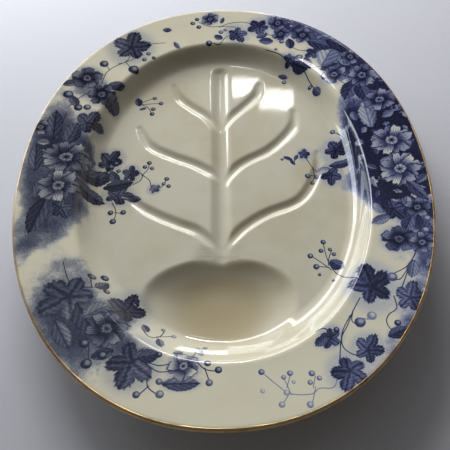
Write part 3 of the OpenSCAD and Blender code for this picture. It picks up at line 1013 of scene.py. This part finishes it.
def leaf_inside(u, v, kind):
    """Above 0 inside the leaf. Ivy has five toothed lobes and the others are pointed ovals."""
    angle, radius = polar(u, v)
    teeth = (angle * 35).math("COSINE").math("ARCSINE") * 0.026
    lobe = lobe_of(angle)
    ivy = (0.98 - lobe * lobe * 0.4 + teeth) * (angle.math("COSINE") * 0.14 + 0.86) - radius
    plain = (1 - u * u).math("MAXIMUM", 0) ** 0.8 - abs(v) + (u * 26).math("SINE") * 0.04
    return mixed(kind, plain, ivy)


def blossom_inside(u, v, petals):
    """Above 0 inside the petals, whose rims are ruffled."""
    angle, radius = polar(u, v)
    petal = abs((angle * petals * 0.5).math("COSINE"))
    ruffle = (angle * petals * 3).math("COSINE") * 0.05
    return petal ** 0.45 * 0.32 + 0.65 + ruffle * 0.6 - radius


def round_inside(u, v, _):
    return 1 - polar(u, v)[1]


def picked(names, inside_of, hand):
    """The uppermost motif of several layers, with how far inside it each point lies."""
    chosen = None
    for name in names:
        u, v, reach = stored_vector(board, name)
        u, v = u + (creep_x - 0.5) * hand, v + (creep_y - 0.5) * hand
        tone, kind, number = stored_vector(board, name + "_make")
        inside = mixed(reach < motif_end, -1, inside_of(u, v, kind))
        motif = Motif(u, v, tone, kind, number, inside, reach)
        if chosen is None:
            chosen = motif
            continue
        over = inside > 0
        nearer = chosen.reach.math("MINIMUM", reach)
        below = [mixed(over, low, high) for low, high in zip(chosen[:-1], motif[:-1])]
        chosen = Motif(*below, nearer)
    return chosen


leaf = picked(leaf_names, leaf_inside, drawn_hand)
blossom = picked(blossom_names, blossom_inside, drawn_hand)
berry = picked(berry_names, round_inside, round_hand)
small_leaf = picked(["foliage"], leaf_inside, foliage_hand)
print("motif layers joined")

# %% [markdown]
# The engraver shades with fine lines. Leaves are darkest along their veins and edges, with paler
# flanks between. Petals are streaked dark at the root and where the next petal lies over them, and
# a ring of beads closes the heart. Each becomes an amount of ink between 0 and 1, which is easier
# to lay one over another than colours are.

# %% Leaves, blossoms and berries as ink


def leaf_ink(motif):
    u, v, kind = motif.u, motif.v, motif.kind
    angle, radius = polar(u, v)
    off_vein = lobe_of(angle) * radius
    ivy_vein = 1 - off_vein.rise(0.02, 0.1)
    ivy_flank = off_vein.rise(0.08, 0.16) - off_vein.rise(0.2, 0.34)
    midrib = 1 - abs(v).rise(0.04, 0.14)
    side_veins = ((u - abs(v) * 0.9) * 14).math("SINE")
    vein = mixed(kind, midrib, ivy_vein)
    flank = mixed(kind, side_veins.rise(-0.1, 0.9) * (1 - midrib), ivy_flank)
    shade = (v + (motif.number - 0.5) * 0.6).rise(-0.3, 0.3)
    lines = ((u + v * 0.6) * 40).math("SINE")
    outline = 1 - motif.inside.rise(0.03, 0.18)
    ink = motif.tone * 0.52 + 0.32 - shade * 0.2
    return ink + vein * 0.14 - flank * 0.13 + lines * 0.05 + outline * 0.18


def blossom_ink(motif):
    tone, petals = motif.tone, motif.kind
    angle, radius = polar(motif.u, motif.v)
    # A twist of the petals' borders lays each petal over the next
    turns = (angle + radius * 0.5) * petals / (2 * math.pi) + 0.5
    along = turns.math("FRACT")
    petal = turns.math("FLOOR")
    own_tone = (petal * (4 * math.pi) / petals + motif.number * 9).math("SINE") * 0.1
    under_next = (1 - along.rise(0, 0.4)) * radius.rise(0.2, 0.5)
    border = (1 - (0.5 - abs(along - 0.5)).rise(0.02, 0.08)) * radius.rise(0.2, 0.35)
    streaks = (angle * petals * 7 + creep_x * 6).math("SINE") * 0.5 + 0.5
    root = 1 - (radius - streaks * 0.2).rise(0.26, 0.6)
    tip = radius.rise(0.5, 0.8) * (0.08 - streaks * 0.1)
    rim = 1 - motif.inside.rise(0.02, 0.1)
    wash = tone * 0.52 + 0.06 + own_tone + under_next * 0.24 + root * 0.42 - tip
    drawn = wash.math("MAXIMUM", border * 0.75).math("MAXIMUM", rim * (tone * 0.3 + 0.55))
    beads = (angle * 16).math("COSINE") * 0.25 + 0.7
    ring = (1 - abs(radius - 0.29).rise(0.02, 0.06)) * beads
    eye = 1 - radius.rise(0.06, 0.13)
    heart = 1 - radius.rise(0.24, 0.29)
    seeds = (angle * 8).math("COSINE") * 0.1 + tone * 0.4 + 0.2 + (radius * 50).math("COSINE") * 0.12
    return mixed(heart, drawn, seeds).math("MAXIMUM", ring).math("MAXIMUM", eye * 0.85)


def berry_ink(motif):
    """Darkest at the edge, with a pale light high on one side."""
    u, v, tone = motif.u - 0.2, motif.v - 0.25, motif.tone
    from_light = (u * u + v * v).math("SQRT")
    outline = 1 - motif.inside.rise(0.15, 0.5)
    body = from_light.rise(0.2, 0.9) * (tone * 0.55 + 0.1) + tone * 0.34
    return body.math("MAXIMUM", outline * (tone * 0.85 + 0.08))


print("inks: leaf, blossom, berry")

# %% [markdown]
# The ground is an even wash where the cloud is thick, and breaks into stipple and streaks at its
# edge. The layers go on from the lowest to the uppermost: ground and halo, small leaves, stems,
# leaves, blossoms, berries.

# %% Ground, stems and the whole print
# Half widths of a stem in millimetres: full ink, no ink, and where its layer no longer counts
stem_core, stem_edge, stem_end = 0.15, 0.6, 1.6
cloud = stored_number(board, "cloud")
coarse = board.add("ShaderNodeTexNoise", inputs={
    "Vector": position, "Scale": 70, "Detail": 5, "Roughness": 0.6})
fine = board.add("ShaderNodeTexNoise", inputs={
    "Vector": position, "Scale": 420, "Detail": 3, "Roughness": 0.6})
stipple = board.add("ShaderNodeTexVoronoi", inputs={"Vector": position, "Scale": 1000},
                    output="Distance")
thick = (cloud + (coarse - 0.5) * 0.8 + (fine - 0.5) * 0.2).rise(0.05, 0.9)
dots = (thick * 1.3 - stipple * 1.1).rise(0, 0.7)
ground = dots * 0.12 + thick * 0.24 + thick * cloud * cloud * cloud * 0.5
near_leaf, near_blossom = 1 - leaf.reach.rise(0.8, 1.6), 1 - blossom.reach.rise(0.9, 1.5)
halo = near_leaf.math("MAXIMUM", near_blossom) * 0.13
ink = ground.math("MAXIMUM", halo)
ink = mixed(small_leaf.inside.rise(0, 0.14) * cloud.rise(0.55, 0.75), ink, leaf_ink(small_leaf))
for number in range(stem_layer_count):
    side, near, tone = stored_vector(board, f"stem_{number}")
    ink = mixed((1 - abs(side).rise(stem_core, stem_edge)) * (near < stem_end), ink, tone)
ink = mixed(leaf.inside.rise(-0.06, 0.09), ink, leaf_ink(leaf))
ink = mixed(blossom.inside.rise(-0.05, 0.06), ink, blossom_ink(blossom))
ink = mixed(berry.inside.rise(-0.04, 0.18), ink, berry_ink(berry))
under_side = stored_number(board, "under")
ink = ink * (1 + (fine - 0.5) * 0.5) * (1 - under_side)
print("print drawn as one number")

# %% [markdown]
# The left side lies in shade, so a second, greyer ramp paints that shade into the same ink, and the
# place across the platter chooses between the two ramps. The well is painted darker and warmer, partly
# for the glaze pooled thick there, partly as painted shade. The rim is painted paler: painted light.

# %% Colour, gloss and waviness of the glaze
ramp_places = (0, 0.22, 0.45, 0.7, 1)


def ink_ramp(*colours):
    stops = [(place, srgb(*colour)) for place, colour in zip(ramp_places, colours)]
    return board.add("ShaderNodeValToRGB", {"stops": stops}, [ink])


fresh = ink_ramp((186, 188, 190), (146, 151, 168), (82, 89, 124), (36, 40, 74), (7, 8, 21))
# Painted shade: a greyer ramp colours the ink on the shaded left side
shaded_left_ink = ink_ramp((180, 180, 176), (134, 136, 140), (84, 88, 104), (42, 45, 66), (14, 15, 27))
ink_colour = board.colour_mix(across.rise(-120 * MM, 60 * MM), shaded_left_ink, fresh)
mottle = board.add("ShaderNodeTexNoise", inputs={"Vector": position, "Scale": 22, "Detail": 4})
cream = board.colour_mix(mottle.rise(0.4, 0.75), srgb(203, 198, 180), srgb(193, 185, 160))
# Painted light: the rim is painted paler than the floor
rim_painted_light = height.rise(40 * MM, 47 * MM)
cream = board.colour_mix(rim_painted_light * 0.6, cream, srgb(214, 208, 184))
# Pooled glaze and painted shade: the well is painted darker and warmer
well_pooling_and_shade = (1 - height.rise(9.8 * MM, 16.5 * MM)) * (1 - under_side)
pooled_and_shaded_cream = board.colour_mix(well_pooling_and_shade, cream, srgb(176, 162, 130))
printed = board.colour_mix(ink.rise(0, 0.2), pooled_and_shaded_cream, ink_colour)
waves = board.add("ShaderNodeTexNoise", inputs={"Vector": position, "Scale": 35, "Detail": 2})
wavy = board.add("ShaderNodeBump", inputs={"Strength": 0.05, "Distance": 1.2 * MM, "Height": waves},
                 output="Normal")
finish_material(board, {
    "Base Color": printed, "Roughness": 0.03 + mottle * 0.03, "Normal": wavy, "IOR": 1.52})
print("glaze nodes:", len(glaze.node_tree.nodes))

# %% [markdown]
# With the glaze made, the grooves can be pressed, since the node tree sets the material last. The
# trunk and branches are 0.2 and 0.3 mm shallower than in the CAD model, whose edges are crisp,
# because soft shoulders widen a groove. The fan is so soft that it is made here alone.

# %% Grooves pressed into the platter
# The lines of each kind, and the width and depth of its groove
grooves = {
    "Trunk": (trunk_line, 17, 3.8),
    "Branch": (branch_lines, 10.5, 2.7),
    "Fan": (fan_line, 36, 2.2),
}
groove_clay = 4.4
shoulder_softness = 3.4


def groove_circle(width, depth):
    """Radius of the groove's round bottom, and how high its centre lies over the floor."""
    radius = (width * width / 4 + depth * depth) / (2 * depth)
    return radius * MM, (radius - depth) * MM


values = {"Clay": groove_clay * MM, "Softness": shoulder_softness * MM, "Material": glaze}
for kind, (lines, width, depth) in grooves.items():
    radius, rise = groove_circle(width, depth)
    values |= {kind: lines, kind + " radius": radius, kind + " rise": rise}
    print(kind, "groove:", round(radius / MM, 2), "mm radius")
made = run_tree(platter, groove_tree, values)
for lines, _, _ in grooves.values():
    bpy.data.objects.remove(lines)
heights = np.zeros(len(made.vertices) * 3)
made.vertices.foreach_get("co", heights)
print("lowest point of the body:", round(float(heights[2::3].min()) / MM, 2), "mm")

# %% [markdown]
# ## The gilt line
# A painter turned the platter on a wheel and laid a line of gold round its lip with a brush. It is
# a thin skin, so its node tree bends a grid into it: one way round the oval, the other way over
# the lip and back underneath. Its upper edge wavers a little, as a hand does.

# %% Worn gold
gold, board = new_material("worn_gilding")
position = board.add("ShaderNodeTexCoord", output="Object")
rub = board.add("ShaderNodeTexNoise", inputs={
    "Vector": position, "Scale": 60, "Detail": 6, "Roughness": 0.65})
grain = board.add("ShaderNodeTexNoise", inputs={"Vector": position, "Scale": 900, "Detail": 2})
worn = rub.rise(0.6, 0.72)
gilding = board.colour_mix(rub.rise(0.35, 0.6), srgb(176, 130, 66), srgb(218, 181, 114))
gilding = board.colour_mix(worn * 0.7, gilding, srgb(158, 136, 98))
finish_material(board, {"Base Color": gilding, "Metallic": 1 - worn * 0.5,
                        "Roughness": 0.24 + grain * 0.2 + worn * 0.2})
print("gold ready:", gold.name)

# %% [markdown]
# The line could be a curve with a bevel, but a painted line has no round section: it follows the
# lip's own curve. A grid bent over the lip twice, outside and inside its thickness, does.

# %% Gilt line by rule
around, over = 720, 10
gilt_thickness = 0.3
gilt_upper_angle, gilt_waver = 80, 16
weld = 0.02
gilt_tree, board, given = new_tree("gilt_line", {
    "Half width": NUMBER, "Half length": NUMBER, "Power": NUMBER, "Lip radius": NUMBER,
    "Lip centre": NUMBER, "Thickness": NUMBER, "Upper angle": NUMBER, "Waver": NUMBER,
    "Material": MATERIAL})
grid = board.add("GeometryNodeMeshGrid", inputs={
    "Size X": 1, "Size Y": 1, "Vertices X": around + 1, "Vertices Y": over + 1}, output="Mesh")
grid_x, grid_y, _ = board.parts(board.add("GeometryNodeInputPosition"))
turn_wire = (grid_x + 0.5) * (2 * math.pi)
cosine, sine = turn_wire.math("COSINE"), turn_wire.math("SINE")
stretch = (abs(cosine) ** given["Power"] + abs(sine) ** given["Power"]) ** (-1 / outline_power)
lip_x, lip_y = given["Half width"] * cosine * stretch, given["Half length"] * sine * stretch
length = (lip_x * lip_x + lip_y * lip_y).math("SQRT")
# Up to the middle row the grid runs over the lip on the outside, and then back on the inside. The
# middle row is at 0.5, and a hair more allows for rounding
row = grid_y + 0.5
outer = row < 0.501
sweep = mixed(outer, 2 - row * 2, row * 2)
seed_place = board.add("ShaderNodeCombineXYZ", inputs=[cosine * 3, sine * 3, 0])
waver = board.add("ShaderNodeTexNoise", inputs={"Vector": seed_place, "Scale": 4, "Detail": 3})
tilt = sweep * (given["Upper angle"] + (waver - 0.5) * given["Waver"])
skin = given["Lip radius"] - (1 - outer) * given["Thickness"]
spread = skin * tilt.math("COSINE") / length + 1
place = board.add("ShaderNodeCombineXYZ", inputs=[
    lip_x * spread, lip_y * spread, given["Lip centre"] + skin * tilt.math("SINE")])
bent = board.add("GeometryNodeSetPosition", inputs={"Geometry": grid, "Position": place})
closed = board.add("GeometryNodeMergeByDistance", inputs={"Geometry": bent, "Distance": weld * MM})
smooth = board.add("GeometryNodeSetShadeSmooth", inputs={"Geometry": closed})
finish_tree(board, smooth, given["Material"])

gilt_line = new_piece("gilt_line", [(0, 0, 0)], [])
run_tree(gilt_line, gilt_tree, {
    "Half width": (half_width - lip_radius) * MM, "Half length": (half_length - lip_radius) * MM,
    "Power": outline_power, "Lip radius": lip_radius * MM, "Lip centre": (lip_height - lip_radius) * MM,
    "Thickness": gilt_thickness * MM, "Upper angle": math.radians(gilt_upper_angle),
    "Waver": math.radians(gilt_waver), "Material": gold})
print("gilt line:", len(gilt_line.data.polygons), "faces")

# %% [markdown]
# ## Feet
# The platter stands on an oval ring under the well and on two curved feet at the tree end. All get
# the cream glaze without the print, wiped off where they touch the kiln shelf, so bare clay shows
# there, darkened by years of tables.

# %% Clay and glaze of the feet
foot_finish, board = new_material("foot_clay_and_glaze")
position = board.add("ShaderNodeTexCoord", output="Object")
_, _, height = board.parts(position)
grain = board.add("ShaderNodeTexNoise", inputs={"Vector": position, "Scale": 700, "Detail": 4})
patches = board.add("ShaderNodeTexNoise", inputs={"Vector": position, "Scale": 60, "Detail": 4})
bare = 1 - (height + (patches - 0.5) * (1.2 * MM)).rise(0.8 * MM, 1.6 * MM)
clay = board.colour_mix(grain, srgb(196, 170, 132), srgb(150, 122, 88))
cream = board.colour_mix(patches.rise(0.4, 0.8) * 0.5, srgb(206, 200, 182), srgb(193, 185, 160))
foot_colour = board.colour_mix(bare, cream, clay)
finish_material(board, {"Base Color": foot_colour, "Roughness": 0.1 + bare * 0.6})
ring = frame["nodes"]["well_foot_ring"]
ring.data.materials.clear()
ring.data.materials.append(foot_finish)
print("foot ring finished:", ring.name)

# %% [markdown]
# The ring's CAD shape is right and stays. The two feet were luted on by hand with slip, which left a
# small fillet at their root and soft edges at their base. A loop that keeps its distance from the
# foot's line, drawn again at each height with its own distance, gives all of that.

# %% Line of a foot
# Millimetres inside the foot of the wall, and degrees from the tree end
foot_inset = 6
foot_start, foot_stop = 31, 56


def foot_line_point(degrees):
    """Point on the line that the right-hand foot follows, by its angle from the tree end."""
    turn = math.radians(90 - degrees)
    reach = floor_far - foot_inset
    return oval(floor_half_width - foot_inset, reach, reach, math.cos(turn), math.sin(turn))


def circle_centre(a, b, c):
    """The centre lies as far from b and from c as it does from a."""
    sides = np.array([b - a, c - a])
    return a + np.linalg.solve(sides, (sides ** 2).sum(1) / 2)


foot_ends = [foot_line_point(angle) for angle in (foot_stop, (foot_start + foot_stop) / 2, foot_start)]
foot_centre = circle_centre(*foot_ends)
foot_radius = math.hypot(*(foot_ends[0] - foot_centre))
low_end, high_end = [math.atan2(y, x) for x, y in (end - foot_centre for end in foot_ends[::2])]
print("foot line:", round(foot_radius * (high_end - low_end), 1), "mm long")

# %% [markdown]
# A loop runs along one side of the line, round its end, back along the other side and round the
# other end. Each of its points has a place on the line and a way in which it keeps its distance.

# %% Loops of a foot
# Half widths at the root and base, the base's rounding, and the fillet at the root
foot_root, foot_base = 5, 3.5
foot_round, foot_flare = 1.4, 2.4
round_angles = np.radians([0, 30, 60, 90])
# Heights of the loops as shares of the way to the underside, which the last one passes a little
height_shares = (0.3, 0.6, 0.84, 0.88, 0.92, 0.95, 0.98, 1, 1.02)
flare_starts = 0.84
end_steps, side_steps = 13, 30
side_places = np.linspace(low_end, high_end, side_steps + 2)[1:-1]
half_place = np.concatenate([np.full(end_steps, low_end), side_places, np.full(end_steps, high_end)])
quarter = np.linspace(0, math.pi / 2, end_steps)
half_way = np.concatenate([quarter - math.pi / 2, np.zeros(side_steps), quarter])
loop_place = np.concatenate([half_place, half_place[-2:0:-1]])
loop_way = loop_place + np.concatenate([half_way, math.pi - half_way[-2:0:-1]])


def foot_loop(reach, low, share):
    """Loop round the foot's line, at a share of the way from a low height to the underside."""
    x = foot_centre[0] + foot_radius * np.cos(loop_place) + reach * np.cos(loop_way)
    y = foot_centre[1] + foot_radius * np.sin(loop_place) + reach * np.sin(loop_way)
    return np.column_stack([x, y, low + (basin_height(x, y, body_wall) - low) * share])


def strips_across(ring):
    """Faces across a loop that is alike on both sides of its line, facing up."""
    across = [ring[-k] for k in range(len(ring))]
    strips = [[ring[k], ring[k + 1], across[k + 1], across[k]] for k in range(len(ring) // 2)]
    return [list(dict.fromkeys(strip)) for strip in strips]


foot_loops = []
for angle in round_angles:
    reach = foot_base - foot_round * (1 - math.sin(angle))
    foot_loops.append(foot_loop(reach, foot_round * (1 - math.cos(angle)), 0))
for share in height_shares:
    flare = foot_flare * max(0, (share - flare_starts) / (1 - flare_starts)) ** 2
    foot_loops.append(foot_loop(foot_base + (foot_root - foot_base) * share + flare, foot_round, share))
foot_points = np.concatenate(foot_loops)
foot_rings = np.arange(len(foot_points)).reshape(len(foot_loops), -1)
foot_faces = [face[::-1] for face in strips_across(foot_rings[0].tolist())]
foot_faces += strips_across(foot_rings[-1].tolist())
for lower, upper in zip(foot_rings, foot_rings[1:]):
    foot_faces += ring_quads(upper, lower).tolist()
print("foot:", len(foot_points), "points,", len(foot_faces), "faces")

# %% [markdown]
# The left foot is the right one with its x turned round. That turns its faces inside out too, so
# the corners of each face are listed backwards.

# %% Both feet
foot_right = new_piece("tree_foot_right", foot_points, foot_faces)
foot_left = new_piece("tree_foot_left", foot_points * (-1, 1, 1), [face[::-1] for face in foot_faces])
for foot in (foot_left, foot_right):
    foot.data.materials.append(foot_finish)
print("feet made:", foot_left.name, foot_right.name)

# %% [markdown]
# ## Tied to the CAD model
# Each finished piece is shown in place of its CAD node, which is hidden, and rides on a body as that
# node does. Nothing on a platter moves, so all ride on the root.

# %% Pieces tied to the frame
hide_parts("platter_body")
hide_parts("gilt_edge_line")
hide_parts("tree_end_foot_left")
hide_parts("tree_end_foot_right")
for piece in (platter, gilt_line, foot_left, foot_right):
    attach(piece, "root")
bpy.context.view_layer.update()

# %% [markdown]
# ## The studio
# A pale floor takes the platter's shadow. It is plain and a little cool, so that the cream of the
# glaze shows as cream.

# %% Floor
floor_reach = 2000
floor_material, board = new_material("pale_floor")
position = board.add("ShaderNodeTexCoord", output="Object")
cloudy = board.add("ShaderNodeTexNoise", inputs={"Vector": position, "Scale": 2, "Detail": 3})
pale = board.colour_mix(cloudy, srgb(204, 204, 211), srgb(196, 196, 204))
finish_material(board, {"Base Color": pale, "Roughness": 0.85})
floor_corners = [(x * floor_reach, y * floor_reach, 0) for x, y in ((-1, -1), (1, -1), (1, 1), (-1, 1))]
studio_floor = new_piece("studio_floor", floor_corners, [(0, 1, 2, 3)])
studio_floor.data.materials.append(floor_material)
print("floor:", studio_floor.name)

# %% [markdown]
# A glossy glaze is mostly seen by what it mirrors. The large window that lights the clay would cover
# the grooves with its mirror image, so the glaze doesn't see it. Smaller ones make the highlights:
# two panes of a far window glint on the tree end, and others stand low beyond it and on the left,
# from where they brighten the right wall.

# %% Lights


def soft_box(name, spot, azimuth, elevation, distance, width, height, power, colour, mirrored=True):
    """A rectangular light aimed at a spot. Azimuth turns from +Y towards +X."""
    across, up = math.radians(azimuth), math.radians(elevation)
    way = Vector((math.sin(across) * math.cos(up), math.cos(across) * math.cos(up), math.sin(up)))
    data = bpy.data.lights.new(name, "AREA")
    data.shape = "RECTANGLE"
    data.size, data.size_y = width, height
    data.energy, data.color = power, colour
    light = bpy.data.objects.new(name, data)
    light.location = way * distance + Vector(spot)
    light.rotation_euler = way.to_track_quat("Z", "Y").to_euler()
    light.visible_glossy = mirrored
    bpy.context.scene.collection.objects.link(light)


middle = (0, 0, 0.03)
white, daylight, pale_sky, blue_sky = (1, 1, 1), (0.98, 0.99, 1), (0.93, 0.97, 1), (0.84, 0.92, 1)
# Spot aimed at, azimuth and elevation in degrees, distance, width, height in metres, watts, colour
soft_box("far_pane_left", (0.027, 0.132, 0.029), 2.6, 44.6, 3, 0.18, 0.11, 0.9, white)
soft_box("far_pane_right", (0.06, 0.112, 0.029), 7, 45.7, 3, 0.2, 0.12, 1, white)
soft_box("window_light", middle, -20, 37, 1.6, 0.9, 0.6, 17.5, daylight, mirrored=False)
soft_box("far_window", middle, -22, 17, 1.3, 0.9, 0.36, 7.5, pale_sky)
soft_box("low_window", middle, 5, 21, 1.6, 0.4, 0.2, 6.5, daylight)
soft_box("left_window", middle, -50, 16, 1.5, 0.5, 0.5, 6, blue_sky)
print("lights:", [item.name for item in bpy.data.objects if item.type == "LIGHT"])

# %% [markdown]
# The room itself is dim, a little lighter and warmer low down beyond the tree end than behind the
# camera, with a patch of cool skylight high up. The glaze mirrors it faintly everywhere, which is
# what makes the surface look wet.

# %% Room
room_dim, room_bright = 0.08, 0.3
warm_wall, cool_sky = (1, 0.93, 0.84, 1), (0.82, 0.9, 1, 1)
world = bpy.data.worlds.new("room")
bpy.context.scene.world = world
world.use_nodes = True
world.node_tree.nodes.clear()
board = Board(world.node_tree)
_, toward_tree, up = board.parts(board.add("ShaderNodeTexCoord", output="Generated"))
walls = (1 - up.rise(0.3, 0.65)) * toward_tree.rise(-0.6, 0.6)
skylight = up.rise(0.74, 0.84) * toward_tree.rise(0, 0.3)
tint = board.colour_mix(skylight, warm_wall, cool_sky)
strength = walls * room_bright + skylight * room_bright + room_dim
light = board.add("ShaderNodeBackground", inputs={"Color": tint, "Strength": strength})
board.add("ShaderNodeOutputWorld", inputs=[light])
print("room nodes:", len(world.node_tree.nodes))
